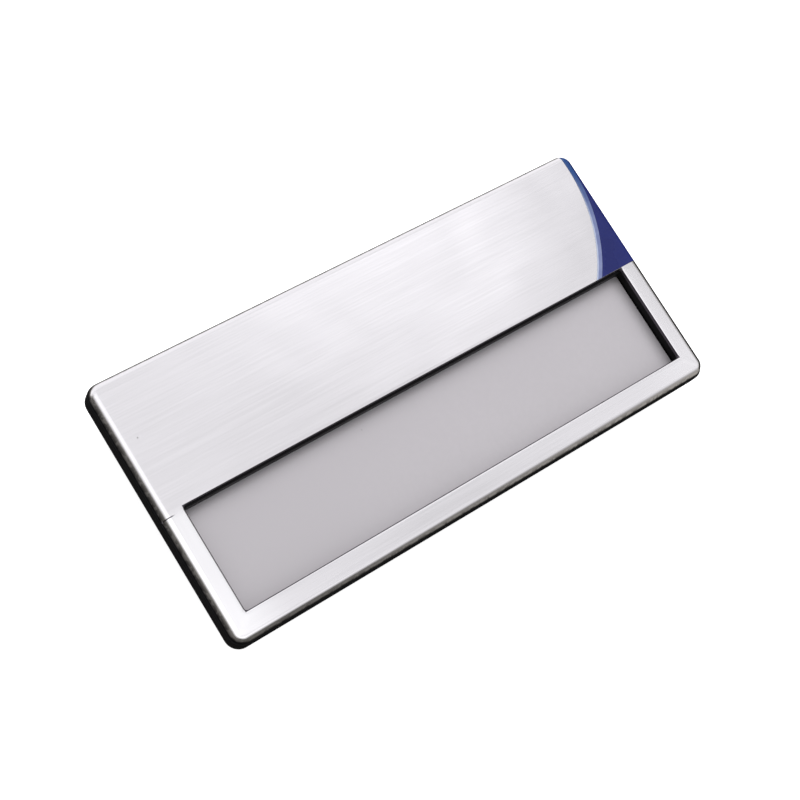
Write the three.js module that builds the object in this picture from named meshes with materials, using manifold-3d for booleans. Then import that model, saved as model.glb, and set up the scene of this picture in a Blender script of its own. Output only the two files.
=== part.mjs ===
// Name badge: a brushed steel front shell with a long name window, lying face up on its magnet bar.
// Units are millimetres. X runs along the badge, Y towards its plain upper edge, Z out of its face.
// The origin is under the middle of the badge, on the surface that the magnet bar lies on.

import * as THREE from "three";
import Module from "manifold-3d";
import { mergeVertices } from "three/addons/utils/BufferGeometryUtils.js";

const wasm = await Module();
wasm.setup();

// The badge as a whole
const BADGE_LENGTH = 76;
const BADGE_WIDTH = 36;
const BODY_DEPTH = 3.2;

// Front shell, pressed from sheet
const SHEET = 0.5;
const RIM_RADIUS = 1.0;
const LIP_DEPTH = 1.2;
const FACE_CORNER = 1.5;
const LIP_CORNER = 1.9;

// Name window in the shell
const WINDOW_SIDE_BAR = 3.2;
const WINDOW_BOTTOM_BAR = 3.5;
const WINDOW_HEIGHT = 14.3;
const WINDOW_CORNER = 0.4;

// Back tray, which stands a little proud of the steel all round
const TRAY_LEDGE = 0.25;
const TRAY_CORNER = 1.9;
const TRAY_EDGE = 0.15;
const TRAY_FLOOR = 0.6;

// Name card in the tray's pocket
const CARD_THICKNESS = 0.4;
const CARD_OVERLAP = 0.12;

// Coloured corner field with its pale stripe along an arc
const ENAMEL_DEPTH = 0.1;
const ENAMEL_DROP = 0.95;
const ARC_RADIUS = 23.8;
const ARC_SHORT_OF_EDGE = 1.6;
const ARC_CENTRE_BELOW_TOP = 2.3;
const STRIPE_WIDTH = 0.75;
const FIELD_ABOVE_WINDOW = 0.12;

// Small nick across the left rim
const NICK_LENGTH = 1.9;
const NICK_WIDTH = 0.14;
const NICK_DEPTH = 0.1;
const NICK_BELOW_WINDOW_TOP = 0.45;

// Magnet bar on the back
const MAGNET_LENGTH = 45;
const MAGNET_WIDTH = 13;
const MAGNET_THICKNESS = 4;
const MAGNET_CORNER = 2;
const MAGNET_EDGE = 0.5;

// Clearances
const FIT_GAP = 0.1;
const SEAT_GAP = 0.04;
const INLAY_GAP = 0.03;

// Steps of the curves
const CORNER_STEPS = 8;
const RIM_STEPS = 6;
const EDGE_STEPS = 3;
const ARC_STEPS = 28;
const CUT_OVERRUN = 1;

// Heights and places that follow from the sizes above
const FACE_Z = MAGNET_THICKNESS + SEAT_GAP + BODY_DEPTH;
const TRAY_BOTTOM_Z = MAGNET_THICKNESS + SEAT_GAP;
const FLANGE_TOP_Z = FACE_Z - LIP_DEPTH - SEAT_GAP;
const POCKET_FLOOR_Z = TRAY_BOTTOM_Z + TRAY_FLOOR;
const HALF_LENGTH = BADGE_LENGTH / 2;
const HALF_WIDTH = BADGE_WIDTH / 2;
const SHELL_LENGTH = BADGE_LENGTH - 2 * TRAY_LEDGE;
const SHELL_WIDTH = BADGE_WIDTH - 2 * TRAY_LEDGE;
const WINDOW_LENGTH = BADGE_LENGTH - 2 * WINDOW_SIDE_BAR;
const WINDOW_CENTRE_Y = -HALF_WIDTH + WINDOW_BOTTOM_BAR + WINDOW_HEIGHT / 2;
const WINDOW_TOP_Y = WINDOW_CENTRE_Y + WINDOW_HEIGHT / 2;
const ARC_CENTRE_X = HALF_LENGTH - ARC_SHORT_OF_EDGE - ARC_RADIUS;
const ARC_CENTRE = new THREE.Vector2(ARC_CENTRE_X, HALF_WIDTH - ARC_CENTRE_BELOW_TOP);
const FIELD_BOTTOM_Y = WINDOW_TOP_Y + FIELD_ABOVE_WINDOW;

// One ring of points round a rounded rectangle, counter-clockwise from the right side
function roundedRing(length, width, radius, z) {
  const ring = [];
  const quarters = [
    { side: 1, end: 1 },
    { side: -1, end: 1 },
    { side: -1, end: -1 },
    { side: 1, end: -1 },
  ];
  quarters.forEach(({ side, end }, quarter) => {
    for (let step = 0; step <= CORNER_STEPS; step += 1) {
      const angle = (quarter + step / CORNER_STEPS) * (Math.PI / 2);
      const x = side * (length / 2 - radius) + radius * Math.cos(angle);
      const y = end * (width / 2 - radius) + radius * Math.sin(angle);
      ring.push(new THREE.Vector3(x, y, z));
    }
  });
  return ring;
}

// A closed solid skinned over convex rings that are listed from the lowest to the highest
function loft(rings) {
  const count = rings[0].length;
  const positions = rings.flat().flatMap((point) => point.toArray());
  const indices = [];
  for (let level = 0; level < rings.length - 1; level += 1) {
    for (let point = 0; point < count; point += 1) {
      const next = (point + 1) % count;
      const a = level * count + point;
      const b = level * count + next;
      const c = a + count;
      const d = b + count;
      indices.push(a, b, d, a, d, c);
    }
  }
  const top = (rings.length - 1) * count;
  for (let point = 1; point < count - 1; point += 1) {
    indices.push(0, point + 1, point);
    indices.push(top, top + point, top + point + 1);
  }
  const geometry = new THREE.BufferGeometry();
  geometry.setAttribute("position", new THREE.Float32BufferAttribute(positions, 3));
  geometry.setIndex(indices);
  return geometry;
}

// A flat outline drawn up from one height to another
function prism(shape, lowZ, highZ) {
  const options = { depth: highZ - lowZ, bevelEnabled: false, curveSegments: CORNER_STEPS };
  const geometry = new THREE.ExtrudeGeometry(shape, options);
  geometry.translate(0, 0, lowZ);
  return geometry;
}

// A three.js geometry as a solid for joining and cutting
function toSolid(geometry) {
  const bare = geometry.clone();
  bare.deleteAttribute("normal");
  bare.deleteAttribute("uv");
  const merged = mergeVertices(bare, 1e-4);
  const vertProperties = new Float32Array(merged.attributes.position.array);
  const triVerts = new Uint32Array(merged.index.array);
  return new wasm.Manifold(new wasm.Mesh({ numProp: 3, vertProperties, triVerts }));
}

// A solid back as a three.js geometry
function toGeometry(solid) {
  const mesh = solid.getMesh();
  const geometry = new THREE.BufferGeometry();
  geometry.setAttribute("position", new THREE.BufferAttribute(mesh.vertProperties, 3));
  geometry.setIndex(new THREE.BufferAttribute(mesh.triVerts, 1));
  geometry.computeVertexNormals();
  return geometry;
}

// The corner radius of the pressed form, which opens out towards the lip
function cornerAt(depth) {
  const share = Math.min(depth / LIP_DEPTH, 1);
  return THREE.MathUtils.lerp(FACE_CORNER, LIP_CORNER, share);
}

// The pressed form moved inwards by an offset, from its rounded rim down to a given height
function pressedForm(offset, bottomZ) {
  const rim = Math.max(RIM_RADIUS - offset, EDGE_STEPS * INLAY_GAP);
  const section = [];
  for (let step = 0; step <= RIM_STEPS; step += 1) {
    const angle = (step / RIM_STEPS) * (Math.PI / 2);
    const inset = offset + rim * (1 - Math.sin(angle));
    const depth = offset + rim * (1 - Math.cos(angle));
    section.push({ inset, depth });
  }
  section.push({ inset: offset, depth: FACE_Z - bottomZ });
  const rings = section.map(({ inset, depth }) => {
    const radius = Math.max(cornerAt(depth) - inset, INLAY_GAP);
    return roundedRing(SHELL_LENGTH - 2 * inset, SHELL_WIDTH - 2 * inset, radius, FACE_Z - depth);
  });
  return toSolid(loft(rings.reverse()));
}

// A rounded slab with all its lower and upper edges rounded
function slab(length, width, corner, lowZ, highZ, edge) {
  const section = [];
  for (let step = 0; step <= EDGE_STEPS; step += 1) {
    const angle = (step / EDGE_STEPS) * (Math.PI / 2);
    section.push({ inset: edge * (1 - Math.sin(angle)), rise: edge * (1 - Math.cos(angle)) });
  }
  const ring = (inset, z) => roundedRing(length - 2 * inset, width - 2 * inset, corner - inset, z);
  const lower = section.map(({ inset, rise }) => ring(inset, lowZ + rise));
  const upper = section.map(({ inset, rise }) => ring(inset, highZ - rise));
  return loft([...lower, ...upper.reverse()]);
}

// The window's outline, grown all round by a margin
function windowPrism(margin, lowZ, highZ) {
  const ring = (z) => {
    const corner = WINDOW_CORNER + margin;
    const points = roundedRing(WINDOW_LENGTH + 2 * margin, WINDOW_HEIGHT + 2 * margin, corner, z);
    return points.map((point) => point.setY(point.y + WINDOW_CENTRE_Y));
  };
  return loft([ring(lowZ), ring(highZ)]);
}

// The angle at which an arc round the arc centre reaches a height in Y
function arcAngle(radius, y) {
  return Math.asin((y - ARC_CENTRE.y) / radius);
}

// A band between two radii round the arc centre, or all that lies outside the first one
function cornerField(innerRadius, outerRadius, bottomY) {
  const topY = HALF_WIDTH + CUT_OVERRUN;
  const shape = new THREE.Shape();
  const innerLow = arcAngle(innerRadius, bottomY);
  const innerHigh = arcAngle(innerRadius, topY);
  if (outerRadius === null) {
    shape.moveTo(HALF_LENGTH + CUT_OVERRUN, bottomY);
    shape.lineTo(HALF_LENGTH + CUT_OVERRUN, topY);
  } else {
    const outerLow = arcAngle(outerRadius, bottomY);
    const outerHigh = arcAngle(outerRadius, topY);
    shape.absarc(ARC_CENTRE.x, ARC_CENTRE.y, outerRadius, outerLow, outerHigh, false);
  }
  shape.absarc(ARC_CENTRE.x, ARC_CENTRE.y, innerRadius, innerHigh, innerLow, true);
  return new THREE.Shape(shape.getPoints(ARC_STEPS));
}

// All that lies within an outline in plan and less than a depth under the pressed form's surface
function skinCutter(shape, depth, lowZ) {
  const block = toSolid(prism(shape, lowZ, FACE_Z + CUT_OVERRUN));
  return block.subtract(pressedForm(depth, TRAY_BOTTOM_Z));
}

// The part of that space which the pressed form fills
function skin(shape, depth, lowZ) {
  return skinCutter(shape, depth, lowZ).intersect(pressedForm(0, TRAY_BOTTOM_Z));
}

// The short groove across the left rim
function nickOutline() {
  const y = WINDOW_TOP_Y - NICK_BELOW_WINDOW_TOP;
  const left = -HALF_LENGTH - CUT_OVERRUN;
  const right = -HALF_LENGTH + NICK_LENGTH;
  return new THREE.Shape([
    new THREE.Vector2(left, y - NICK_WIDTH / 2),
    new THREE.Vector2(right - NICK_WIDTH, y - NICK_WIDTH / 2),
    new THREE.Vector2(right, y),
    new THREE.Vector2(right - NICK_WIDTH, y + NICK_WIDTH / 2),
    new THREE.Vector2(left, y + NICK_WIDTH / 2),
  ]);
}

function frontShell() {
  const outer = pressedForm(0, FACE_Z - LIP_DEPTH);
  const hollow = pressedForm(SHEET, TRAY_BOTTOM_Z);
  const window = toSolid(windowPrism(0, TRAY_BOTTOM_Z, FACE_Z + CUT_OVERRUN));
  const dropZ = FACE_Z - ENAMEL_DROP;
  const field = cornerField(ARC_RADIUS, null, FIELD_BOTTOM_Y);
  const inlay = skinCutter(field, ENAMEL_DEPTH + INLAY_GAP, dropZ);
  const nick = skinCutter(nickOutline(), NICK_DEPTH, FACE_Z - RIM_RADIUS);
  return outer.subtract(hollow).subtract(window).subtract(inlay).subtract(nick);
}

function cornerEnamel() {
  const inner = ARC_RADIUS + STRIPE_WIDTH + INLAY_GAP;
  const shape = cornerField(inner, null, FIELD_BOTTOM_Y + INLAY_GAP);
  return skin(shape, ENAMEL_DEPTH, FACE_Z - ENAMEL_DROP + INLAY_GAP);
}

function enamelPinstripe() {
  const shape = cornerField(ARC_RADIUS + INLAY_GAP, ARC_RADIUS + STRIPE_WIDTH, FIELD_BOTTOM_Y + INLAY_GAP);
  return skin(shape, ENAMEL_DEPTH, FACE_Z - ENAMEL_DROP + INLAY_GAP);
}

function backTray() {
  const flange = slab(BADGE_LENGTH, BADGE_WIDTH, TRAY_CORNER, TRAY_BOTTOM_Z, FLANGE_TOP_Z, TRAY_EDGE);
  const platform = pressedForm(SHEET + FIT_GAP, POCKET_FLOOR_Z);
  const pocket = toSolid(windowPrism(CARD_OVERLAP + FIT_GAP, POCKET_FLOOR_Z, FACE_Z));
  return toSolid(flange).add(platform).subtract(pocket);
}

// A named mesh in its own colour
function piece(name, geometry, color, roughness, metalness) {
  const material = new THREE.MeshStandardMaterial({ color, roughness, metalness });
  const mesh = new THREE.Mesh(geometry, material);
  mesh.name = name;
  return mesh;
}

const badge = new THREE.Group();
badge.name = "name_badge";

badge.add(piece("front_shell", toGeometry(frontShell()), 0xd9d7dc, 0.28, 1.0));
badge.add(piece("corner_enamel", toGeometry(cornerEnamel()), 0x333a7d, 0.3, 0.0));
badge.add(piece("enamel_pinstripe", toGeometry(enamelPinstripe()), 0x8490b8, 0.3, 0.0));
badge.add(piece("back_tray", toGeometry(backTray()), 0x141416, 0.45, 0.0));

const card = windowPrism(CARD_OVERLAP, 0, CARD_THICKNESS);
const nameCard = piece("name_card", card, 0xc3bec4, 0.6, 0.0);
nameCard.position.z = POCKET_FLOOR_Z + SEAT_GAP;
badge.add(nameCard);

const bar = slab(MAGNET_LENGTH, MAGNET_WIDTH, MAGNET_CORNER, 0, MAGNET_THICKNESS, MAGNET_EDGE);
badge.add(piece("magnet_bar", bar, 0x1d1d20, 0.5, 0.0));

export default badge;
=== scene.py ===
"""Name badge lying face up: brushed steel front, coloured corner, name card, black tray and magnet bar.

Pieces are modelled in millimetres and brought to metres when each is finished. X runs along the badge,
Y towards its plain upper edge and Z out of its face.
"""

import logging
import math
from dataclasses import dataclass
from enum import Enum
from typing import NamedTuple

import bpy
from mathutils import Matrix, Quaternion, Vector


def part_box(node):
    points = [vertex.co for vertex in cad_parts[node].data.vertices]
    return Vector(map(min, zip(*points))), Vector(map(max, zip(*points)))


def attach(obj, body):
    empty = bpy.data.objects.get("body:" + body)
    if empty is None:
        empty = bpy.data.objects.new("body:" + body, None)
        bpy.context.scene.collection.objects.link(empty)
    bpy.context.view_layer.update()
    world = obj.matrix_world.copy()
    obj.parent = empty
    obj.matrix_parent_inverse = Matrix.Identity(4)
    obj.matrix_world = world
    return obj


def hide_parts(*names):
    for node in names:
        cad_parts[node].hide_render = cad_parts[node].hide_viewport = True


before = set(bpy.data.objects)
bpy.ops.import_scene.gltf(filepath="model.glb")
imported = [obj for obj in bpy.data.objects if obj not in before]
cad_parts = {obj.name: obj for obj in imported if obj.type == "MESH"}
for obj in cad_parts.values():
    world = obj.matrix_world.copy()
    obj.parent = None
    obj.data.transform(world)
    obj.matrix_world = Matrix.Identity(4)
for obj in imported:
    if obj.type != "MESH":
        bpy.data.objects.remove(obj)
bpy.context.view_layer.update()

Piece = bpy.types.Object
Socket = bpy.types.NodeSocket
Triple = tuple[float, float, float]

MM = 0.001
BODY = "root"
CORNER_SEGMENTS = 16
RIM_SEGMENTS = 14
EDGE_SEGMENTS = 5
DRUM_VERTICES = 512
SMOOTH_ANGLE = math.radians(32)
NORMAL_WEIGHT = 100
# Millimetres: points that lie closer are merged, and rings of one flat face lie this little apart in
# height, which tells the bridge tool their order
MERGE_DISTANCE = 0.0005
FLAT_STEP = 0.002
# The middle range of a noise texture, and the full middle of a small round mark, as a share of its radius
NOISE_RANGE = (0.3, 0.7)
MARK_CORE = 0.4

log = logging.getLogger("name_badge")


class Slot(Enum):
    """The record's material slots."""

    STEEL = "brushed_steel"
    BLUE = "blue_enamel"
    PALE = "pale_enamel"
    PLASTIC = "black_plastic"
    CARD = "grey_card"
    MAGNET = "magnet_case"


class Cut(Enum):
    """How one solid works on another."""

    REMOVE = "DIFFERENCE"
    KEEP = "INTERSECT"


class Side(Enum):
    """The side of a cutting plane that is thrown away."""

    BELOW = "below"
    ABOVE = "above"


def node_box_mm(node: str) -> tuple[Vector, Vector]:
    """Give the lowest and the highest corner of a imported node, in millimetres."""
    low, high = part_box(node)
    return low / MM, high / MM


def quarter_round(radius: float, segments: int) -> list[tuple[float, float]]:
    """List each ring's inset and depth over a rounded edge, from its face down to its side."""
    angles = [step / segments * math.pi / 2 for step in range(segments + 1)]
    return [(radius * (1 - math.sin(angle)), radius * (1 - math.cos(angle))) for angle in angles]


class Ramp(NamedTuple):
    """A smooth change: the range that is read, and the values at its two ends."""

    low: float
    high: float
    start: float = 0.0
    end: float = 1.0


@dataclass(frozen=True)
class Ring:
    """One rounded rectangle that a body is skinned over, in millimetres."""

    length: float
    width: float
    corner: float
    height: float
    centre_y: float = 0.0


class Bench:
    """Edit-mode work that the sub-assemblies share."""

    @staticmethod
    def name_new(name: str) -> Piece:
        """Name the object that an operator has just added, and give it."""
        piece = bpy.context.object
        piece.name = name
        piece.data.name = name
        return piece

    @staticmethod
    def only(piece: Piece) -> None:
        """Select one object alone and make it the active one."""
        bpy.ops.object.select_all(action="DESELECT")
        piece.select_set(True)
        bpy.context.view_layer.objects.active = piece

    @staticmethod
    def add_ring(ring: Ring) -> None:
        """Draw one rounded rectangle of edges in edit mode and keep it as the newest vertex group.

        Args:
            ring: Its size and place.
        """
        bpy.ops.mesh.select_all(action="DESELECT")
        bpy.ops.mesh.primitive_plane_add(size=1.0)
        bpy.ops.transform.resize(value=(ring.length, ring.width, 1.0), center_override=(0.0, 0.0, 0.0))
        bpy.ops.transform.translate(value=(0.0, ring.centre_y, ring.height))
        bpy.ops.mesh.bevel(
            offset=ring.corner, segments=CORNER_SEGMENTS, affect="VERTICES", clamp_overlap=False
        )
        bpy.ops.object.vertex_group_assign_new()
        bpy.ops.mesh.delete(type="ONLY_FACE")

    @staticmethod
    def select_rings(piece: Piece, *indices: int) -> None:
        """Select the vertices of some rings and of nothing else.

        Args:
            piece: The object in edit mode.
            *indices: The rings' numbers, in the order in which they were drawn.
        """
        bpy.ops.mesh.select_all(action="DESELECT")
        for index in indices:
            piece.vertex_groups.active_index = index
            bpy.ops.object.vertex_group_select()

    @classmethod
    def loft(cls, name: str, rings: list[Ring], closed: bool = False) -> Piece:
        """Skin a body over rings, with a face on each end or with its last ring joined to its first.

        Args:
            name: Name of the new object.
            rings: The rings, in order over the surface.
            closed: Whether the skin comes back to its first ring.

        Returns:
            The new closed body.
        """
        bpy.ops.object.select_all(action="DESELECT")
        bpy.ops.mesh.primitive_plane_add(size=1.0)
        piece = cls.name_new(name)
        bpy.ops.object.mode_set(mode="EDIT")
        bpy.ops.mesh.select_mode(type="VERT")
        bpy.ops.mesh.delete(type="VERT")
        for ring in rings:
            cls.add_ring(ring)
        last = len(rings) - 1
        for index in range(last):
            cls.select_rings(piece, index, index + 1)
            bpy.ops.mesh.bridge_edge_loops()
        if closed:
            cls.select_rings(piece, last, 0)
            bpy.ops.mesh.bridge_edge_loops()
        else:
            for index in (0, last):
                cls.select_rings(piece, index)
                bpy.ops.mesh.edge_face_add()
        bpy.ops.mesh.select_all(action="SELECT")
        bpy.ops.mesh.normals_make_consistent(inside=False)
        bpy.ops.object.mode_set(mode="OBJECT")
        piece.vertex_groups.clear()
        return piece

    @classmethod
    def box(cls, name: str, low: Vector, high: Vector) -> Piece:
        """Make a block between two corners, to cut with.

        Args:
            name: Name of the new object.
            low: Its lowest corner.
            high: Its highest corner.

        Returns:
            The new block.
        """
        bpy.ops.object.select_all(action="DESELECT")
        bpy.ops.mesh.primitive_cube_add(size=1.0)
        block = cls.name_new(name)
        bpy.ops.object.mode_set(mode="EDIT")
        bpy.ops.mesh.select_all(action="SELECT")
        bpy.ops.transform.resize(value=tuple(high - low), center_override=(0.0, 0.0, 0.0))
        bpy.ops.transform.translate(value=tuple((high + low) / 2))
        bpy.ops.object.mode_set(mode="OBJECT")
        return block

    @classmethod
    def drum(cls, name: str, radius: float, centre: Vector, height: float) -> Piece:
        """Make an upright drum, to cut with.

        Args:
            name: Name of the new object.
            radius: Its radius.
            centre: Its middle.
            height: Its height.

        Returns:
            The new drum, with its place in its mesh.
        """
        bpy.ops.object.select_all(action="DESELECT")
        bpy.ops.mesh.primitive_cylinder_add(
            vertices=DRUM_VERTICES, radius=radius, depth=height, location=centre
        )
        drum = cls.name_new(name)
        bpy.ops.object.transform_apply(location=True, rotation=True, scale=True)
        return drum

    @classmethod
    def carve(cls, piece: Piece, tool: Piece, cut: Cut) -> None:
        """Cut a piece with a solid and throw the solid away.

        Args:
            piece: The object that is kept.
            tool: The solid that cuts it.
            cut: Whether the tool's space is removed or alone kept.
        """
        cls.only(piece)
        modifier = piece.modifiers.new("carve", "BOOLEAN")
        modifier.object = tool
        modifier.operation = cut.value
        modifier.solver = "EXACT"
        bpy.ops.object.modifier_apply(modifier=modifier.name)
        bpy.data.objects.remove(tool)

    @classmethod
    def slice(cls, piece: Piece, point: Vector, normal: Vector, away: Side) -> None:
        """Cut a body along a plane, throw one side away and close the cut.

        Args:
            piece: The body.
            point: A point on the plane.
            normal: The plane's normal.
            away: The side that goes, seen along the normal.
        """
        cls.only(piece)
        bpy.ops.object.mode_set(mode="EDIT")
        bpy.ops.mesh.select_all(action="SELECT")
        bpy.ops.mesh.bisect(
            plane_co=point,
            plane_no=normal,
            use_fill=True,
            clear_inner=away is Side.BELOW,
            clear_outer=away is Side.ABOVE,
        )
        bpy.ops.object.mode_set(mode="OBJECT")

    @classmethod
    def finish(cls, piece: Piece, node: str, slot: Slot, finish: "Finish") -> Piece:
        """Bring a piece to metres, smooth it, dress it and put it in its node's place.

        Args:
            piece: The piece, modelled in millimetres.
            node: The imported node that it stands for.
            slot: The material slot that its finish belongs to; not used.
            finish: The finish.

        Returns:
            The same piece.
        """
        cls.only(piece)
        bpy.ops.object.mode_set(mode="EDIT")
        bpy.ops.mesh.select_all(action="SELECT")
        bpy.ops.mesh.remove_doubles(threshold=MERGE_DISTANCE)
        bpy.ops.mesh.normals_make_consistent(inside=False)
        bpy.ops.transform.resize(value=(MM, MM, MM), center_override=(0.0, 0.0, 0.0))
        bpy.ops.object.mode_set(mode="OBJECT")
        bpy.ops.object.shade_smooth_by_angle(angle=SMOOTH_ANGLE)
        modifier = piece.modifiers.new("even_shading", "WEIGHTED_NORMAL")
        modifier.keep_sharp = True
        modifier.weight = NORMAL_WEIGHT
        bpy.ops.object.modifier_apply(modifier=modifier.name)
        piece.data.materials.clear()
        piece.data.materials.append(finish.material())
        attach(piece, BODY)
        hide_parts(node)
        return piece


@dataclass(frozen=True)
class PressedForm:
    """The outer form of the badge's front, whose corners open out towards the lip."""

    length: float
    width: float
    face_z: float
    lip_z: float
    rim_radius: float = 1.0
    face_corner: float = 1.5
    lip_corner: float = 1.9

    def ring(self, inset: float, depth: float) -> Ring:
        """Give the outline at a depth under the face, moved inwards by an inset."""
        share = min(depth / (self.face_z - self.lip_z), 1.0)
        corner = self.face_corner + (self.lip_corner - self.face_corner) * share
        return Ring(self.length - 2 * inset, self.width - 2 * inset, corner - inset, self.face_z - depth)

    def rim(self, offset: float) -> list[Ring]:
        """List the rings down the rounded rim, with its surface moved inwards by an offset."""
        edge = quarter_round(self.rim_radius - offset, RIM_SEGMENTS)
        return [self.ring(offset + inset, offset + depth) for inset, depth in edge]

    def solid(self, name: str, offset: float, bottom_z: float) -> Piece:
        """Make the form as a closed solid, moved inwards by an offset and ended at a height."""
        foot = self.ring(offset, self.face_z - bottom_z)
        return Bench.loft(name, [*self.rim(offset), foot])


@dataclass(frozen=True)
class WindowOutline:
    """The outline of the name window."""

    length: float
    width: float
    centre_y: float
    corner: float = 0.4

    def ring(self, margin: float, height: float) -> Ring:
        """Give the outline at a height, grown all round by a margin."""
        grown = 2 * margin
        corner = self.corner + margin
        return Ring(self.length + grown, self.width + grown, corner, height, self.centre_y)

    @property
    def top_y(self) -> float:
        """Give the window's upper edge."""
        return self.centre_y + self.width / 2


@dataclass
class SteelShell:
    """The pressed and brushed steel front, with its name window."""

    form: PressedForm
    window: WindowOutline
    sheet: float = 0.5
    arris: float = 0.07
    window_arris: float = 0.28
    window_border: float = 0.3
    nick_length: float = 1.9
    nick_width: float = 0.14
    nick_depth: float = 0.1
    nick_below_window_top: float = 0.45
    overrun: float = 1.0

    def rings(self) -> list[Ring]:
        """List the rings from the window over the face, round the lip and back under the sheet."""
        top = self.form.face_z
        under = top - self.sheet
        drop = top - self.form.lip_z
        lip = [
            self.form.ring(0.0, drop - self.arris),
            self.form.ring(self.arris, drop),
            self.form.ring(self.sheet - self.arris, drop - FLAT_STEP),
            self.form.ring(self.sheet, drop - self.arris),
        ]
        edge = self.window_edge()
        border = self.window.ring(self.window_arris + self.window_border, top - FLAT_STEP)
        return [
            edge[0],
            border,
            *self.form.rim(0.0),
            *lip,
            *reversed(self.form.rim(self.sheet)),
            self.window.ring(0.0, under - FLAT_STEP),
            *reversed(edge[1:]),
        ]

    def window_edge(self) -> list[Ring]:
        """List the rings over the window's rounded edge, from the face down into the cut."""
        edge = quarter_round(self.window_arris, EDGE_SEGMENTS)
        return [self.window.ring(margin, self.form.face_z - depth) for margin, depth in edge]

    def nick(self) -> Piece:
        """Make the solid that cuts the short nick across the left rim."""
        middle = self.window.top_y - self.nick_below_window_top
        half = self.nick_width / 2
        left = -self.form.length / 2
        low = Vector((left - self.overrun, middle - half, self.form.lip_z + self.nick_width))
        high = Vector((left + self.nick_length, middle + half, self.form.face_z + self.overrun))
        tool = Bench.box("nick_tool", low, high)
        core = self.form.solid("nick_core", self.nick_depth, self.form.lip_z - self.overrun)
        Bench.carve(tool, core, Cut.REMOVE)
        return tool

    def build(self, recess: Piece, finish: "Finish") -> Piece:
        """Build the shell, cut the colour field's recess into it and dress it.

        Args:
            recess: The solid that cuts the recess.
            finish: The steel's finish.

        Returns:
            The finished shell.
        """
        shell = Bench.loft("steel_shell", self.rings(), closed=True)
        Bench.carve(shell, recess, Cut.REMOVE)
        Bench.carve(shell, self.nick(), Cut.REMOVE)
        return Bench.finish(shell, "front_shell", Slot.STEEL, finish)


@dataclass
class CornerField:
    """The blue field in the upper right corner and the pale stripe along its arc."""

    form: PressedForm
    bottom_y: float
    depth: float = 0.1
    drop: float = 0.95
    arc_radius: float = 23.8
    arc_short_of_edge: float = 1.35
    arc_centre_below_top: float = 2.05
    stripe_width: float = 0.75
    gap: float = 0.03
    overrun: float = 1.0
    drum_height: float = 5.0

    @property
    def centre(self) -> Vector:
        """Give the centre of the arc."""
        x = self.form.length / 2 - self.arc_short_of_edge - self.arc_radius
        return Vector((x, self.form.width / 2 - self.arc_centre_below_top, self.form.face_z))

    def drum(self, radius: float) -> Piece:
        """Make the drum whose side is the arc with a given radius."""
        return Bench.drum("arc_drum", radius, self.centre, self.drum_height)

    def trim(self, piece: Piece, margin: float) -> None:
        """Keep only the part of a body right of the arc's centre and a margin above the field's foot."""
        Bench.slice(piece, Vector((0.0, self.bottom_y + margin, 0.0)), Vector((0.0, 1.0, 0.0)), Side.BELOW)
        Bench.slice(piece, self.centre, Vector((1.0, 0.0, 0.0)), Side.BELOW)

    def skin(self, name: str) -> Piece:
        """Make the thin skin of colour over the whole corner.

        Args:
            name: Name of the new object.

        Returns:
            The skin, not yet cut along the arc.
        """
        low = self.form.face_z - self.drop + self.gap
        skin = self.form.solid(name, 0.0, self.form.lip_z)
        Bench.slice(skin, Vector((0.0, 0.0, low)), Vector((0.0, 0.0, 1.0)), Side.BELOW)
        self.trim(skin, self.gap)
        core = self.form.solid("skin_core", self.depth, self.form.lip_z - self.overrun)
        Bench.carve(skin, core, Cut.REMOVE)
        return skin

    def recess(self) -> Piece:
        """Make the solid that cuts the recess for both colours."""
        half = Vector((self.form.length / 2, self.form.width / 2, self.form.face_z))
        low = Vector((self.centre.x, self.bottom_y, self.form.face_z - self.drop))
        high = half + Vector((1.0, 1.0, 1.0)) * self.overrun
        tool = Bench.box("recess_tool", low, high)
        core = self.form.solid("recess_core", self.depth + self.gap, self.form.lip_z - self.overrun)
        Bench.carve(tool, core, Cut.REMOVE)
        Bench.carve(tool, self.drum(self.arc_radius), Cut.REMOVE)
        return tool

    def build_blue(self, finish: "Finish") -> Piece:
        """Build and dress the blue field."""
        blue = self.skin("blue_field")
        Bench.carve(blue, self.drum(self.arc_radius + self.stripe_width + self.gap), Cut.REMOVE)
        return Bench.finish(blue, "corner_enamel", Slot.BLUE, finish)

    def build_stripe(self, finish: "Finish") -> Piece:
        """Build and dress the pale stripe."""
        stripe = self.skin("pale_stripe")
        Bench.carve(stripe, self.drum(self.arc_radius + self.stripe_width), Cut.KEEP)
        Bench.carve(stripe, self.drum(self.arc_radius + self.gap), Cut.REMOVE)
        return Bench.finish(stripe, "enamel_pinstripe", Slot.PALE, finish)


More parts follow.
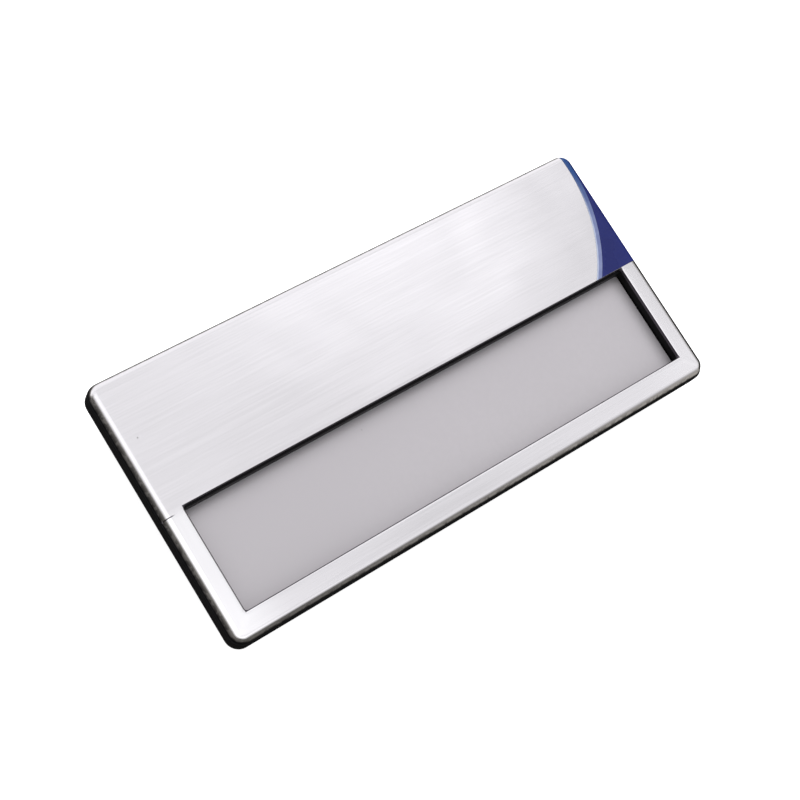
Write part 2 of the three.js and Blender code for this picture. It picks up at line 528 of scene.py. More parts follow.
@dataclass
class BackTray:
    """The black tray that closes the back and holds the card in its pocket."""

    form: PressedForm
    window: WindowOutline
    length: float
    width: float
    bottom_z: float
    flange_z: float
    pocket_z: float
    sheet: float = 0.5
    fit_gap: float = 0.1
    card_overlap: float = 0.12
    corner: float = 1.9
    edge: float = 0.15
    upper_trim: float = 0.15
    upper_lip: float = 0.3
    slot_height: float = 0.46

    def flange(self) -> list[Ring]:
        """List the rings of the flange, from its back face round its side to its upper face."""
        levels = quarter_round(self.edge, EDGE_SEGMENTS)
        rows = [(inset, self.bottom_z + rise) for inset, rise in levels]
        rows += [(inset, self.flange_z - rise) for inset, rise in reversed(levels)]
        width, centre_y = self.width - self.upper_trim, -self.upper_trim / 2
        return [
            Ring(self.length - 2 * inset, width - 2 * inset, self.corner - inset, height, centre_y)
            for inset, height in rows
        ]

    def pocket(self, top: float) -> list[Ring]:
        """List the rings of the pocket, whose upper wall has a narrow lip over the card.

        Args:
            top: The height of the pocket's mouth.

        Returns:
            The rings from the mouth down to the floor.
        """
        margin = self.card_overlap + self.fit_gap
        reach = margin + self.upper_lip
        slot = self.pocket_z + self.slot_height
        floor = self.window.ring(margin, self.pocket_z)
        mouth = [
            Ring(floor.length, floor.width - reach, floor.corner, height, floor.centre_y - reach / 2)
            for height in (top, slot)
        ]
        return [*mouth, self.window.ring(margin, slot + FLAT_STEP), floor]

    def rings(self) -> list[Ring]:
        """List the rings from the back face, over the flange and the platform, down into the pocket."""
        offset = self.sheet + self.fit_gap
        top = self.form.face_z - offset
        foot = self.form.ring(offset, self.form.face_z - self.flange_z - FLAT_STEP)
        return [*self.flange(), foot, *reversed(self.form.rim(offset)), *self.pocket(top - FLAT_STEP)]

    def build(self, finish: "Finish") -> Piece:
        """Build and dress the tray."""
        tray = Bench.loft("black_tray", self.rings())
        return Bench.finish(tray, "back_tray", Slot.PLASTIC, finish)


@dataclass
class NameCard:
    """The plain card behind the window."""

    window: WindowOutline
    low_z: float
    high_z: float
    overlap: float = 0.12
    edge: float = 0.06

    def build(self, finish: "Finish") -> Piece:
        """Build and dress the card."""
        rows = [
            (self.overlap - self.edge, self.low_z),
            (self.overlap, self.low_z + self.edge),
            (self.overlap, self.high_z - self.edge),
            (self.overlap - self.edge, self.high_z),
        ]
        card = Bench.loft("grey_name_card", [self.window.ring(*row) for row in rows])
        return Bench.finish(card, "name_card", Slot.CARD, finish)


@dataclass
class MagnetBar:
    """The plain magnet bar on the back, with the seam of its case round its side."""

    length: float
    width: float
    low_z: float
    high_z: float
    corner: float = 2.0
    edge: float = 0.5
    seam: float = 0.12

    def rings(self) -> list[Ring]:
        """List the rings from the lower face to the upper one, with the seam half way up."""
        levels = quarter_round(self.edge, EDGE_SEGMENTS)
        middle = (self.low_z + self.high_z) / 2
        rows = [(inset, self.low_z + rise) for inset, rise in levels]
        rows += [(0.0, middle - self.seam), (self.seam, middle), (0.0, middle + self.seam)]
        rows += [(inset, self.high_z - rise) for inset, rise in reversed(levels)]
        return [Ring(self.length - 2 * i, self.width - 2 * i, self.corner - i, z) for i, z in rows]

    def build(self, finish: "Finish") -> Piece:
        """Build and dress the bar."""
        bar = Bench.loft("magnet_case_bar", self.rings())
        return Bench.finish(bar, "magnet_bar", Slot.MAGNET, finish)


class Board:
    """A node tree that is being wired, with short ways to add and join its nodes.

    A material's board has the place on its piece, in metres.
    """

    place: Socket

    def __init__(self, tree: bpy.types.NodeTree) -> None:
        """Start on a tree and empty it."""
        self.tree = tree
        tree.nodes.clear()

    def feed(self, node: bpy.types.Node, inputs: dict) -> None:
        """Set or join a node's inputs.

        Args:
            node: The node.
            inputs: Values or output sockets by input name or number.
        """
        for key, value in inputs.items():
            if isinstance(value, Socket):
                self.tree.links.new(value, node.inputs[key])
            else:
                node.inputs[key].default_value = value

    def add(self, kind: str, inputs: dict | None = None, **settings: object) -> bpy.types.Node:
        """Add a node, set its properties and set or join its inputs.

        Args:
            kind: The node's type name.
            inputs: Values or output sockets by input name or number.
            **settings: The node's own properties.

        Returns:
            The new node.
        """
        node = self.tree.nodes.new(kind)
        for key, value in settings.items():
            setattr(node, key, value)
        self.feed(node, inputs or {})
        return node

    def math(self, operation: str, a: object, b: object = 0.0, clamp: bool = False) -> Socket:
        """Add a Math node and give its output."""
        return self.add("ShaderNodeMath", {0: a, 1: b}, operation=operation, use_clamp=clamp).outputs[0]

    def vector(self, operation: str, *inputs: object, output: str = "Vector") -> Socket:
        """Add a Vector Math node and give its output, a vector or a value."""
        values = dict(enumerate(inputs))
        return self.add("ShaderNodeVectorMath", values, operation=operation).outputs[output]

    def axes(self, vector: Socket) -> list[Socket]:
        """Split a vector and give its three parts."""
        return list(self.add("ShaderNodeSeparateXYZ", {0: vector}).outputs)

    def join(self, **parts: Socket) -> Socket:
        """Give the vector that has these parts, and nought for the others."""
        return self.add("ShaderNodeCombineXYZ", {key.upper(): part for key, part in parts.items()}).outputs[0]

    def noise(self, vector: Socket, scale: object, detail: object) -> Socket:
        """Add a Noise Texture and give its value."""
        return self.add("ShaderNodeTexNoise", {"Vector": vector, "Scale": scale, "Detail": detail}).outputs[0]

    def remap(
        self, value: object, low: float, high: float, to_low: float = 0.0, to_high: float = 1.0
    ) -> Socket:
        """Map a value smoothly, from low and high to to_low and to_high, and give it."""
        inputs = {0: value, 1: low, 2: high, 3: to_low, 4: to_high}
        return self.add("ShaderNodeMapRange", inputs, interpolation_type="SMOOTHSTEP").outputs[0]

    def within(self, value: Socket, reach: float, blur: float) -> Socket:
        """Give one for a value inside a reach in millimetres and nought past it, with a soft step."""
        return self.remap(value, (reach - blur) * MM, (reach + blur) * MM, 1.0, 0.0)

    def spot(self, x: float, y: float, radius: float) -> Socket:
        """Give the mask of one small round mark, seen in plan, from its place and radius in millimetres."""
        flat = self.vector("MULTIPLY", self.place, (1.0, 1.0, 0.0))
        distance = self.vector("DISTANCE", flat, (x * MM, y * MM, 0.0), output="Value")
        return self.remap(distance, MARK_CORE * radius * MM, radius * MM, 1.0, 0.0)

    def mix(self, factor: object, a: object, b: object) -> Socket:
        """Mix two numbers and give the result."""
        return self.add("ShaderNodeMix", {0: factor, 2: a, 3: b}).outputs[0]

    def blend(self, factor: object, a: object, b: object, way: str = "MIX") -> Socket:
        """Mix two colours and give the result."""
        return self.add("ShaderNodeMix", {0: factor, 6: a, 7: b}, data_type="RGBA", blend_type=way).outputs[2]

    def bump(self, height: Socket, distance: float, **under: Socket) -> Socket:
        """Add a Bump node, over another one's Normal where that is given, and give its normal."""
        return self.add("ShaderNodeBump", {"Height": height, "Distance": distance, **under}).outputs[0]


class Effects:
    """Shader node groups that several finishes use. Each reads a Vector and some numbers."""

    BRUSHED = "brushed_streaks"
    MOTTLE = "cloudy_variation"
    SPECKS = "dust_specks"
    USUAL = {
        BRUSHED: {"Streak length": 140.0, "Streak pitch": 8200.0, "Seed": 0.0},
        MOTTLE: {"Scale": 60.0, "Detail": 3.0},
        SPECKS: {"Scale": 140.0, "Size": 0.012, "Share": 0.05},
    }

    @staticmethod
    def brushed(board: Board, given: dict[str, Socket]) -> dict[str, Socket]:
        """Wire the streaks of brushed metal, which run along X, and give the outputs."""
        seed = given["Seed"]
        outputs = {}
        for key, share in (("Fine", 1.0), ("Coarse", 0.3)):
            along = board.math("MULTIPLY", given["Streak length"], share)
            across = board.math("MULTIPLY", given["Streak pitch"], share)
            stretched = board.vector("MULTIPLY", given["Vector"], board.join(x=along, y=across, z=across))
            moved = board.vector("ADD", stretched, board.join(x=seed, y=seed))
            outputs[key] = board.noise(moved, 1.0, 2.0)
        return outputs

    @staticmethod
    def mottle(board: Board, given: dict[str, Socket]) -> dict[str, Socket]:
        """Wire slow, cloudy variation and give the output."""
        noise = board.noise(given["Vector"], given["Scale"], given["Detail"])
        return {"Cloud": board.remap(noise, *NOISE_RANGE)}

    @staticmethod
    def specks(board: Board, given: dict[str, Socket]) -> dict[str, Socket]:
        """Wire sparse specks of dust and give the output."""
        cells = board.add("ShaderNodeTexVoronoi", {key: given[key] for key in ("Vector", "Scale")})
        near = board.math("LESS_THAN", cells.outputs["Distance"], given["Size"])
        pick = board.add("ShaderNodeSeparateColor", {0: cells.outputs["Color"]})
        chosen = board.math("LESS_THAN", pick.outputs[0], given["Share"])
        return {"Mask": board.math("MULTIPLY", near, chosen)}

    @classmethod
    def group(cls, name: str) -> bpy.types.NodeTree:
        """Give a group, which is built when it is first asked for.

        Args:
            name: Name of the group.

        Returns:
            The group.
        """
        if name not in bpy.data.node_groups:
            wire = {cls.BRUSHED: cls.brushed, cls.MOTTLE: cls.mottle, cls.SPECKS: cls.specks}[name]
            tree = bpy.data.node_groups.new(name, "ShaderNodeTree")
            tree.interface.new_socket("Vector", in_out="INPUT", socket_type="NodeSocketVector")
            for key, value in cls.USUAL[name].items():
                socket = tree.interface.new_socket(key, in_out="INPUT", socket_type="NodeSocketFloat")
                socket.default_value = value
            board = Board(tree)
            given = board.add("NodeGroupInput").outputs
            outputs = wire(board, {socket.name: socket for socket in given})
            for key in outputs:
                tree.interface.new_socket(key, in_out="OUTPUT", socket_type="NodeSocketFloat")
            board.add("NodeGroupOutput", outputs)
        return bpy.data.node_groups[name]

    @classmethod
    def use(cls, board: Board, name: str, **inputs: object) -> bpy.types.Node:
        """Place a group on a material's board and set its inputs by name."""
        return board.add("ShaderNodeGroup", {"Vector": board.place, **inputs}, node_tree=cls.group(name))

    @classmethod
    def cloud(cls, board: Board, scale: float, detail: float) -> Socket:
        """Place cloudy variation on a material's board and give it."""
        return cls.use(board, cls.MOTTLE, Scale=scale, Detail=detail).outputs[0]


@dataclass(frozen=True)
class Dust:
    """Specks of dust on a finish, and its one larger mark in millimetres where it has one."""

    scale: float
    size: float
    share: float
    strength: float
    color: Triple
    mark: Triple | None = None


@dataclass(frozen=True)
class Finish:
    """What every finish has: a name, a colour, a roughness, and how clouds and dust play over them."""

    name: str
    color: Triple
    roughness: float
    specular: float = 0.5
    cloud_scale: float = 60.0
    cloud_detail: float = 3.0
    shades: tuple[float, float] = (1.0, 1.0)
    rough_play: float = 0.0
    dust: Dust | None = None

    def tint(self, share: float) -> tuple[float, float, float, float]:
        """Give the finish's colour made darker or lighter by a share."""
        return (*(min(channel * share, 1.0) for channel in self.color), 1.0)

    def shaded(self, board: Board, mask: Socket, dark: float, light: float) -> Socket:
        """Give the colour between a darker and a lighter shade of it, by a mask."""
        return board.blend(mask, self.tint(dark), self.tint(light))

    def uneven(self, board: Board, mask: Socket, low: float = 0.0, high: float = 1.0) -> Socket:
        """Give the roughness, a little lower or higher by a mask."""
        least, most = self.roughness - self.rough_play, self.roughness + self.rough_play
        return board.remap(mask, low, high, least, most)

    def clouds(self, board: Board) -> Socket:
        """Give the finish's own clouds."""
        return Effects.cloud(board, self.cloud_scale, self.cloud_detail)

    def dusty(self, board: Board, color: Socket) -> Socket:
        """Lay the finish's dust over a colour and give it.

        Args:
            board: The material's board.
            color: The colour without dust.
        """
        dust = self.dust
        sizes = {"Scale": dust.scale, "Size": dust.size, "Share": dust.share}
        mask = Effects.use(board, Effects.SPECKS, **sizes).outputs[0]
        if dust.mark:
            mask = board.math("ADD", mask, board.spot(*dust.mark), clamp=True)
        return board.blend(board.math("MULTIPLY", mask, dust.strength), color, (*dust.color, 1.0))

    def looks(self, board: Board) -> dict:
        """Give the shader's inputs. Each kind of finish has its own."""
        raise NotImplementedError

    def material(self) -> bpy.types.Material:
        """Build the material."""
        material = bpy.data.materials.new(self.name)
        material.use_nodes = True
        board = Board(material.node_tree)
        values = {"Base Color": (*self.color, 1.0), "Roughness": self.roughness}
        shader = board.add("ShaderNodeBsdfPrincipled", {**values, "Specular IOR Level": self.specular})
        board.add("ShaderNodeOutputMaterial", {"Surface": shader.outputs[0]})
        board.place = board.add("ShaderNodeTexCoord").outputs["Object"]
        board.feed(shader, self.looks(board))
        return material


@dataclass(frozen=True)
class BrushedSteel(Finish):
    """Steel brushed along the badge, and along the bars at the sides of the window.

    Lengths and places are in millimetres, and the depths of the two bumps in metres.
    """

    cloud_scale: float = 45.0
    cloud_detail: float = 2.0
    shades: tuple[float, float] = (0.97, 1.01)
    rough_play: float = 0.02
    dust: Dust = Dust(140.0, 0.012, 0.05, 0.6, (0.12, 0.11, 0.11), mark=(-35.3, 9.5, 0.13))
    window_half: float = 34.8
    window_top: float = -0.2
    window_bottom: float = -14.5
    mitre_blur: float = 0.05
    fade_foot: float = 1.2
    fade_head: float = 0.4
    face_z: float = 7.24
    rim_depth: float = 0.7
    rim_start: float = 0.1
    cross_seed: float = 7.3
    grain_depth: float = 0.0000015
    cloud_depth: float = 0.00006
    fine_share: float = 0.7
    coarse_share: float = 0.3
    tone_range: tuple[float, float] = (0.35, 0.65)
    # The rim's mottle: its size and its darker and lighter shades
    rim_mottle_scale: float = 1400.0
    rim_mottle_detail: float = 3.0
    rim_mottle_shades: tuple[float, float] = (0.5, 1.25)
    # Painted shade: the dark colour laid along the window's cut edge and in the nick for the shadow lines
    # there, with the cut edge's roughness and how far the shade reaches
    painted_shade_color: Triple = (0.1, 0.09, 0.105)
    cut_roughness: float = 0.5
    edge_shade_reach: float = 0.13
    edge_shade_blur: float = 0.015
    # Painted sheen: the bright silver, and the ramps along the badge that lay it in round the window's two
    # ends as reflected light
    painted_sheen_silver: Triple = (0.98, 0.98, 0.985)
    left_sheen: Ramp = Ramp(-36.0, -29.0, 0.7, 0.0)
    right_sheen: Ramp = Ramp(36.0, 26.0, 0.3, 0.0)
    # The nick's painted shade: its place, its width, where it fades out and how strongly it darkens
    nick_y: float = -0.65
    nick_half: float = 0.07
    nick_blur: float = 0.01
    nick_end: float = -36.1
    nick_fade: float = 0.6
    nick_shade_share: float = 0.9

    def below_window_top(self, board: Board, y: Socket) -> Socket:
        """Give one beside and under the window and nought above it."""
        foot, head = self.window_top - self.fade_foot, self.window_top + self.fade_head
        return board.remap(y, foot * MM, head * MM, 1.0, 0.0)

    def bar_mask(self, board: Board) -> Socket:
        """Give the mask of the side bars, mitred at the lower corners.

        Args:
            board: The material's board.

        Returns:
            One in the side bars and nought elsewhere.
        """
        x, y, _ = board.axes(board.place)
        out = board.math("SUBTRACT", board.math("ABSOLUTE", x), self.window_half * MM)
        down = board.math("SUBTRACT", self.window_bottom * MM, y)
        past = board.math("SUBTRACT", out, board.math("MAXIMUM", down, 0.0))
        side = board.remap(past, -self.mitre_blur * MM, self.mitre_blur * MM)
        return board.math("MULTIPLY", side, self.below_window_top(board, y))

    def edge_shade_mask(self, board: Board) -> Socket:
        """Give the mask of the painted shade along the window's cut edge, a dark line that stands in for the
        shadow at the window's edge.

        Args:
            board: The material's board.

        Returns:
            One on the cut edge and nought elsewhere.
        """
        x, y, _ = board.axes(board.place)
        half = (self.window_top - self.window_bottom) / 2 * MM
        middle = (self.window_top + self.window_bottom) / 2 * MM
        along = board.math("SUBTRACT", board.math("ABSOLUTE", x), self.window_half * MM)
        offset = board.math("ABSOLUTE", board.math("SUBTRACT", y, middle))
        out = board.math("MAXIMUM", along, board.math("SUBTRACT", offset, half))
        return board.within(out, self.edge_shade_reach, self.edge_shade_blur)

    def painted_sheen_share(self, board: Board) -> Socket:
        """Give the share of painted sheen in the steel round the window, a bright silver that stands in for
        reflected light, most at its two ends.

        Args:
            board: The material's board.

        Returns:
            The share, which is nought above the window.
        """
        x, y, _ = board.axes(board.place)
        left, right = (
            board.remap(x, end.low * MM, end.high * MM, end.start, end.end)
            for end in (self.left_sheen, self.right_sheen)
        )
        return board.math("MULTIPLY", board.math("ADD", left, right), self.below_window_top(board, y))

    def nick_shade_mask(self, board: Board) -> Socket:
        """Give the mask of the painted shade in the nick in the left rim, which darkens it as its shadow
        would.

        Args:
            board: The material's board.

        Returns:
            One in the nick and nought elsewhere, fading out on the face.
        """
        x, y, _ = board.axes(board.place)
        off = board.math("ABSOLUTE", board.math("SUBTRACT", y, self.nick_y * MM))
        across = board.within(off, self.nick_half, self.nick_blur)
        start = (self.nick_end - self.nick_fade) * MM
        fade = board.remap(x, start, self.nick_end * MM, self.nick_shade_share, 0.0)
        return board.math("MULTIPLY", across, fade)

    def looks(self, board: Board) -> dict:
        """Give the shader's inputs.

        Args:
            board: The material's board.

        Returns:
            Values or output sockets by input name.
        """
        bars, cut = self.bar_mask(board), self.edge_shade_mask(board)
        quarter = {"Vector": board.place, "Rotation": (0.0, 0.0, math.pi / 2)}
        turned = board.add("ShaderNodeMapping", quarter)
        long_way = Effects.use(board, Effects.BRUSHED)
        cross_way = Effects.use(board, Effects.BRUSHED, Vector=turned.outputs[0], Seed=self.cross_seed)
        fine, coarse = (
            board.mix(bars, long_way.outputs[key], cross_way.outputs[key]) for key in ("Fine", "Coarse")
        )
        cloud = self.clouds(board)
        play = board.remap(cloud, 0.0, 1.0, -self.rough_play, self.rough_play)
        rough = board.math("ADD", self.uneven(board, coarse, *NOISE_RANGE), play)
        fine_part = board.math("MULTIPLY", fine, self.fine_share)
        tone = board.math("ADD", fine_part, board.math("MULTIPLY", coarse, self.coarse_share))
        color = self.shaded(board, board.remap(tone, *self.tone_range), *self.shades)
        # Painted sheen: bright silver laid into the colour round the window, most at its two ends, for
        # reflected light
        color = board.blend(self.painted_sheen_share(board), color, (*self.painted_sheen_silver, 1.0))
        foot, head = self.face_z - self.rim_depth, self.face_z - self.rim_start
        rim = board.remap(board.axes(board.place)[2], foot * MM, head * MM, 1.0, 0.0)
        # Mottled darker and lighter over the rim
        rim_mottle = Effects.cloud(board, self.rim_mottle_scale, self.rim_mottle_detail)
        rim_mottle = board.remap(rim_mottle, *NOISE_RANGE)
        color = board.blend(rim, color, self.shaded(board, rim_mottle, *self.rim_mottle_shades))
        color = self.dusty(board, color)
        # Painted shade: the window's cut edge and the nick are darkened for the shadow lines at them
        dark = board.math("MAXIMUM", cut, self.nick_shade_mask(board))
        grain = board.bump(fine, self.grain_depth)
        return {
            "Metallic": 1.0,
            "Roughness": board.mix(cut, rough, self.cut_roughness),
            "Base Color": board.blend(dark, color, (*self.painted_shade_color, 1.0)),
            "Normal": board.bump(cloud, self.cloud_depth, Normal=grain),
        }


@dataclass(frozen=True)
class Enamel(Finish):
    """Smooth printed colour with a faint unevenness."""

    cloud_scale: float = 350.0
    shades: tuple[float, float] = (0.92, 1.08)
    rough_play: float = 0.03
    coat: float = 0.1
    coat_roughness: float = 0.12
    depth: float = 0.00001

    def looks(self, board: Board) -> dict:
        """Give the shader's inputs."""
        cloud = self.clouds(board)
        return {
            "Coat Weight": self.coat,
            "Coat Roughness": self.coat_roughness,
            "Base Color": self.shaded(board, cloud, *self.shades),
            "Roughness": self.uneven(board, cloud),
            "Normal": board.bump(cloud, self.depth),
        }


@dataclass(frozen=True)
class StripeEnamel(Finish):
    """Pale printed colour, with a painted highlight along the steel, darker along the blue and deep at its
    upper end.
    """

    cloud_scale: float = 500.0
    centre: tuple[float, float] = (0.0, 0.0)
    inner_radius: float = 23.8
    width: float = 0.75
    # Painted highlight: the lighter colour along the steel side, for the light caught at the steel's edge
    painted_highlight_color: Triple = (0.5, 0.56, 0.72)
    line_fade: tuple[float, float] = (0.12, 0.4)
    line_play: float = 0.12
    field_tint: float = 0.9
    end_color: Triple = (0.012, 0.055, 0.2)
    end_fade: Ramp = Ramp(5.0, 15.5, 0.0, 0.95)

    def looks(self, board: Board) -> dict:
        """Give the shader's inputs.

        Args:
            board: The material's board.

        Returns:
            Values or output sockets by input name.
        """
        x, y, _ = board.axes(board.place)
        across = board.math("SUBTRACT", x, self.centre[0] * MM)
        along = board.math("SUBTRACT", y, self.centre[1] * MM)
        reach = board.vector("LENGTH", board.join(x=across, y=along), output="Value")
        start, end = (self.inner_radius * MM + part * self.width * MM for part in self.line_fade)
        play = board.remap(self.clouds(board), 0.0, 1.0, -self.line_play, self.line_play)
        share = board.math("ADD", board.remap(reach, start, end), play, clamp=True)
        # Painted highlight: lighter along the steel, fading to the print's colour towards the blue
        color = board.blend(share, (*self.painted_highlight_color, 1.0), self.tint(self.field_tint))
        fade = self.end_fade
        lift = board.remap(y, fade.low * MM, fade.high * MM, fade.start, fade.end)
        return {"Base Color": board.blend(lift, color, (*self.end_color, 1.0))}


@dataclass(frozen=True)
class MouldedPlastic(Finish):
    """Black moulded plastic with a fine texture and a little dust."""

    cloud_scale: float = 120.0
    shades: tuple[float, float] = (0.85, 1.2)
    rough_play: float = 0.05
    dust: Dust = Dust(420.0, 0.02, 0.05, 0.25, (0.35, 0.34, 0.33))
    texture_scale: float = 4200.0
    texture_detail: float = 2.0
    texture_depth: float = 0.000004

    def looks(self, board: Board) -> dict:
        """Give the shader's inputs."""
        fine = board.noise(board.place, self.texture_scale, self.texture_detail)
        cloud = self.clouds(board)
        return {
            "Base Color": self.dusty(board, self.shaded(board, cloud, *self.shades)),
            "Roughness": self.uneven(board, cloud),
            "Normal": board.bump(fine, self.texture_depth),
        }


@dataclass(frozen=True)
class CardStock(Finish):
    """Plain light card under a matt film."""

    cloud_scale: float = 30.0
    cloud_detail: float = 2.0
    shades: tuple[float, float] = (0.975, 1.02)
    rough_play: float = 0.04
    dust: Dust = Dust(170.0, 0.015, 0.06, 0.5, (0.208, 0.1988, 0.21), mark=(-9.4, -2.2, 0.12))
    fibre_scale: float = 1500.0
    fibre_detail: float = 4.0
    fibre_share: Ramp = Ramp(0.35, 0.65, 0.0, 0.35)
    fibre_tint: float = 0.97
    fibre_depth: float = 0.000002

    def looks(self, board: Board) -> dict:
        """Give the shader's inputs."""
        fibre = board.noise(board.place, self.fibre_scale, self.fibre_detail)
        cloud = self.clouds(board)
        color = self.shaded(board, cloud, *self.shades)
        color = board.blend(board.remap(fibre, *self.fibre_share), color, self.tint(self.fibre_tint))
        return {
            "Base Color": self.dusty(board, color),
            "Roughness": self.uneven(board, cloud),
            "Normal": board.bump(fibre, self.fibre_depth),
        }


@dataclass(frozen=True)
class PaleFloor(Finish):
    """A plain pale floor, lit from below as a light table is, so that its shadows stay faint."""

    cloud_scale: float = 6.0
    cloud_detail: float = 1.0
    shades: tuple[float, float] = (0.995, 1.0)
    glow: float = 0.8

    def looks(self, board: Board) -> dict:
        """Give the shader's inputs."""
        return {
            "Emission Strength": self.glow,
            "Emission Color": (1.0, 1.0, 1.0, 1.0),
            "Base Color": self.shaded(board, self.clouds(board), *self.shades),
        }


@dataclass(frozen=True)
class SoftLight:
    """One soft box that lights but isn't mirrored: its middle, target, size in metres and brightness."""

    name: str
    place: Triple
    target: Triple
    size: tuple[float, float]
    radiance: float
    color: Triple = (1.0, 1.0, 1.0)
    watts_per_radiance: float = 4.0

    def build(self) -> Piece:
        """Hang the light."""
        data = bpy.data.lights.new(self.name, "AREA")
        data.shape = "RECTANGLE"
        data.size, data.size_y = self.size
        data.color = self.color
        data.energy = self.watts_per_radiance * self.radiance * self.size[0] * self.size[1]
        light = bpy.data.objects.new(self.name, data)
        bpy.context.scene.collection.objects.link(light)
        light.location = self.place
        light.rotation_euler = (Vector(self.target) - Vector(self.place)).to_track_quat("-Z", "Y").to_euler()
        light.visible_glossy = False
        return light


@dataclass(frozen=True)
class MirroredPatch:
    """A soft round patch of the surroundings that the metal mirrors. Its angles are in degrees."""

    way: Triple
    reach: float
    core: float
    gain: float

    def add_to(self, board: Board, direction: Socket, level: Socket) -> Socket:
        """Add the patch to the level of the surroundings.

        Args:
            board: The surroundings' board.
            direction: The direction that is looked in.
            level: The level so far.

        Returns:
            The level with the patch.
        """
        way = Vector(self.way).normalized()
        near = board.vector("DOT_PRODUCT", direction, way, output="Value")
        low, high = (math.cos(math.radians(angle)) for angle in (self.reach, self.core))
        return board.math("ADD", level, board.remap(near, low, high, 0.0, self.gain))


@dataclass(frozen=True)
class Surroundings:
    """A white surround for soft fill, which the metal mirrors as a dim one, darkest low down.

    The ramps read a direction: its part to the side, its part away from the lower edge, or its height.
    """

    patches: tuple[MirroredPatch, ...]
    fill: float = 0.5
    warm: Triple = (1.0, 0.95, 0.88)
    cool: Triple = (0.985, 0.975, 1.0)
    cool_height: Ramp = Ramp(0.2, 0.7)
    base: Ramp = Ramp(-0.15, 0.72, 0.08, 0.96)
    near: Ramp = Ramp(-0.55, -0.3, 1.0, 0.0)
    near_low: Ramp = Ramp(-0.8, -0.2, 0.02, 0.2)
    near_low_gain: Ramp = Ramp(0.25, 0.6, 0.5, 2.1)
    near_high: Ramp = Ramp(0.25, 0.6, 1.3, 0.9)
    near_rise: Ramp = Ramp(0.38, 0.88)
    left: Ramp = Ramp(-0.45, -0.25, 1.0, 0.0)
    left_away: Ramp = Ramp(-0.75, -0.35)
    left_low: Ramp = Ramp(-1.0, 0.2, 0.04, 0.15)
    left_high: float = 1.35
    left_rise: Ramp = Ramp(0.25, 0.9)
    right: Ramp = Ramp(0.7, 0.88)
    right_level: Ramp = Ramp(0.22, 0.75, 0.02, 0.9)
    far: Ramp = Ramp(0.36, 0.72)
    far_rise: Ramp = Ramp(-0.5, 0.0)
    far_level: float = 1.2

    def level(self, board: Board, direction: Socket, far: Socket) -> Socket:
        """Give how bright the surroundings are in a direction.

        Args:
            board: The surroundings' board.
            direction: The direction that is looked in.
            far: The share of the bright far side in it.

        Returns:
            The level.
        """
        side, away, height = board.axes(direction)
        near_gain = board.remap(side, *self.near_low_gain)
        near_low = board.math("MULTIPLY", board.remap(height, *self.near_low), near_gain)
        near_rise = board.remap(height, *self.near_rise)
        near_high = board.remap(side, *self.near_high)
        left = board.math("MULTIPLY", board.remap(side, *self.left), board.remap(away, *self.left_away))
        left_rise = board.remap(height, *self.left_rise)
        zones = [
            (board.remap(away, *self.near), board.mix(near_rise, near_low, near_high)),
            (left, board.mix(left_rise, board.remap(height, *self.left_low), self.left_high)),
            (board.remap(side, *self.right), board.remap(height, *self.right_level)),
            (far, self.far_level),
        ]
        level = board.remap(height, *self.base)
        for share, zone_level in zones:
            level = board.mix(share, level, zone_level)
        for patch in self.patches:
            level = patch.add_to(board, direction, level)
        return level

    def build(self) -> None:
        """Draw the surroundings in the world."""
        world = bpy.data.worlds.new("studio")
        bpy.context.scene.world = world
        world.use_nodes = True
        board = Board(world.node_tree)
        direction = board.add("ShaderNodeTexCoord").outputs["Generated"]
        _, away, height = board.axes(direction)
        far = board.math("MULTIPLY", board.remap(away, *self.far), board.remap(height, *self.far_rise))
        level = self.level(board, direction, far)
        cool = board.math("MAXIMUM", board.remap(height, *self.cool_height), far)
        tint = board.blend(cool, (*self.warm, 1.0), (*self.cool, 1.0))
        bright = board.add("ShaderNodeCombineColor", {0: level, 1: level, 2: level})
        mirrored = board.blend(1.0, bright.outputs[0], tint, way="MULTIPLY")
        ray = board.add("ShaderNodeLightPath")
        fill = (self.fill, self.fill, self.fill, 1.0)
        color = board.blend(ray.outputs["Is Glossy Ray"], fill, mirrored)
        background = board.add("ShaderNodeBackground", {"Color": color})
        board.add("ShaderNodeOutputWorld", {"Surface": background.outputs[0]})


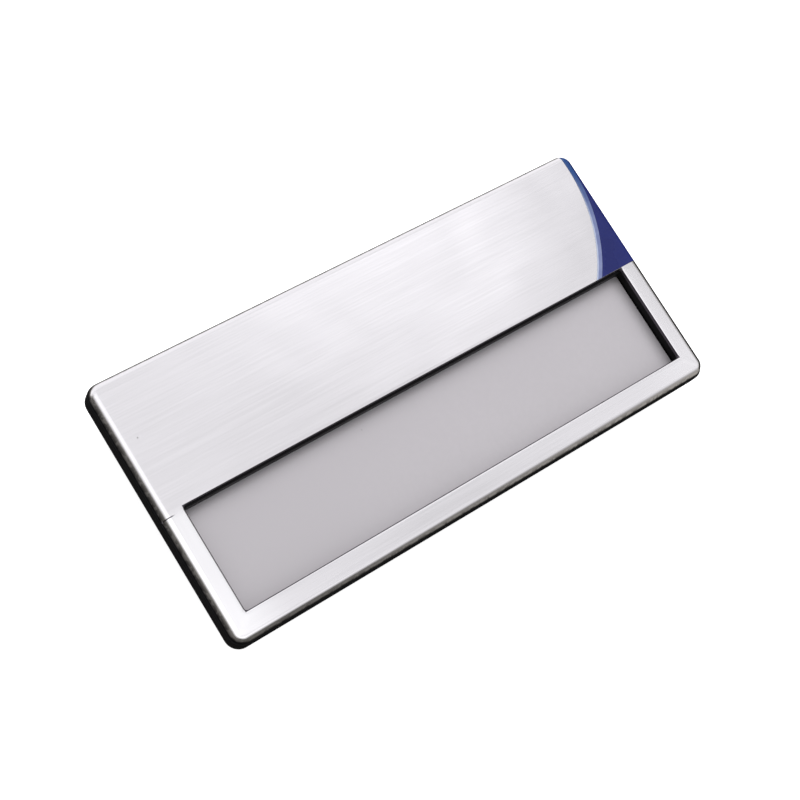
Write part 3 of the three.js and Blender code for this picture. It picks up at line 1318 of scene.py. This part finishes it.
@dataclass
class Studio:
    """Floor, lights, surroundings and camera, which aims at a point on the face, in millimetres."""

    face_z: float
    lights: tuple[SoftLight, ...]
    surroundings: Surroundings
    floor_size: float = 6.0
    floor_finish: Finish = PaleFloor("pale_floor", (0.86, 0.86, 0.86), 0.8)
    aim: tuple[float, float] = (-3.765, -1.496)
    distance: float = 198.642
    azimuth: float = -73.888
    elevation: float = 63.772
    roll: float = 43.498
    lens: float = 71.455
    sensor: float = 36.0
    clip_start: float = 0.01

    def build_floor(self) -> Piece:
        """Lay the floor, which shows but isn't mirrored in the metal."""
        bpy.ops.object.select_all(action="DESELECT")
        bpy.ops.mesh.primitive_plane_add(size=self.floor_size)
        floor = Bench.name_new("pale_floor")
        floor.data.materials.append(self.floor_finish.material())
        floor.visible_glossy = False
        return floor

    def build_camera(self) -> Piece:
        """Set the camera at the photograph's angle to the badge and give it."""
        data = bpy.data.cameras.new("camera")
        data.sensor_width = self.sensor
        data.lens = self.lens
        data.clip_start = self.clip_start
        camera = bpy.data.objects.new("camera", data)
        bpy.context.scene.collection.objects.link(camera)
        turn = math.radians(self.azimuth)
        rise = math.radians(self.elevation)
        back = Vector((math.sin(turn) * math.cos(rise), -math.cos(turn) * math.cos(rise), math.sin(rise)))
        aim = Vector((*self.aim, self.face_z))
        camera.location = (aim + back * self.distance) * MM
        level = (-back).to_track_quat("-Z", "Y")
        camera.rotation_mode = "QUATERNION"
        camera.rotation_quaternion = level @ Quaternion((0.0, 0.0, 1.0), math.radians(self.roll))
        bpy.context.scene.camera = camera
        return camera

    def build(self) -> None:
        """Build the whole studio."""
        self.build_floor()
        self.surroundings.build()
        for light in self.lights:
            light.build()
        self.build_camera()
        bpy.context.scene.view_settings.view_transform = "Standard"


STUDIO_LIGHTS = (SoftLight("far_box", (0.3, 0.45, 0.8), (0.0, 0.0, 0.0), (1.2, 0.7), 2.5),)
STUDIO_PATCHES = (
    MirroredPatch((0.48, 0.26, 0.84), 10.5, 0.0, 0.65),
    MirroredPatch((0.43, 0.08, 0.9), 8.5, 0.0, -0.2),
    MirroredPatch((0.57, 0.0, 0.82), 7.5, 0.0, 0.36),
    MirroredPatch((0.27, 0.0, 0.96), 8.0, 0.0, 0.22),
    MirroredPatch((-0.15, 0.1, 0.98), 22.0, 12.0, 0.4),
    MirroredPatch((0.66, 0.17, 0.73), 9.3, 8.0, -0.5),
)


def main() -> None:
    """Build the badge piece by piece, then the studio."""
    logging.basicConfig(level=logging.INFO, format="%(message)s")
    shell_low, shell_high = node_box_mm("front_shell")
    tray_low, tray_high = node_box_mm("back_tray")
    card_low, card_high = node_box_mm("name_card")
    field_low, _ = node_box_mm("corner_enamel")
    bar_low, bar_high = node_box_mm("magnet_bar")

    overlap = NameCard.overlap
    seat_gap = tray_low.z - bar_high.z
    card_size = card_high - card_low
    form = PressedForm(shell_high.x - shell_low.x, shell_high.y - shell_low.y, shell_high.z, shell_low.z)
    window = WindowOutline(
        card_size.x - 2 * overlap, card_size.y - 2 * overlap, (card_high.y + card_low.y) / 2
    )
    corner = CornerField(form, field_low.y - CornerField.gap)

    steel_color = (0.78, 0.77, 0.785)
    steel = BrushedSteel("brushed_steel", steel_color, 0.2, window_half=window.length / 2, face_z=form.face_z)
    blue = Enamel("blue_enamel", (0.016, 0.022, 0.135), 0.3, specular=0.15)
    arc_centre = (corner.centre.x, corner.centre.y)
    pale = StripeEnamel("pale_enamel", (0.2, 0.235, 0.44), 0.3, specular=0.2, centre=arc_centre)
    plastic = MouldedPlastic("black_plastic", (0.0035, 0.0035, 0.004), 0.45, specular=0.1)
    card_stock = CardStock("grey_card", (0.52, 0.497, 0.525), 0.6, specular=0.3)
    magnet_case = MouldedPlastic("magnet_case", (0.013, 0.013, 0.015), 0.5)

    shell = SteelShell(form, window)
    tray_size = tray_high - tray_low
    flange_z = shell_low.z - seat_gap
    pocket_z = card_low.z - seat_gap
    tray = BackTray(form, window, tray_size.x, tray_size.y, tray_low.z, flange_z, pocket_z)
    card = NameCard(window, card_low.z, card_high.z)
    bar = MagnetBar(bar_high.x - bar_low.x, bar_high.y - bar_low.y, bar_low.z, bar_high.z)
    pieces = [
        shell.build(corner.recess(), steel),
        corner.build_blue(blue),
        corner.build_stripe(pale),
        tray.build(plastic),
        card.build(card_stock),
        bar.build(magnet_case),
    ]
    for piece in pieces:
        log.info("%s: %d faces", piece.name, len(piece.data.polygons))
    Studio(form.face_z, STUDIO_LIGHTS, Surroundings(STUDIO_PATCHES)).build()


if __name__ == "__main__":
    main()
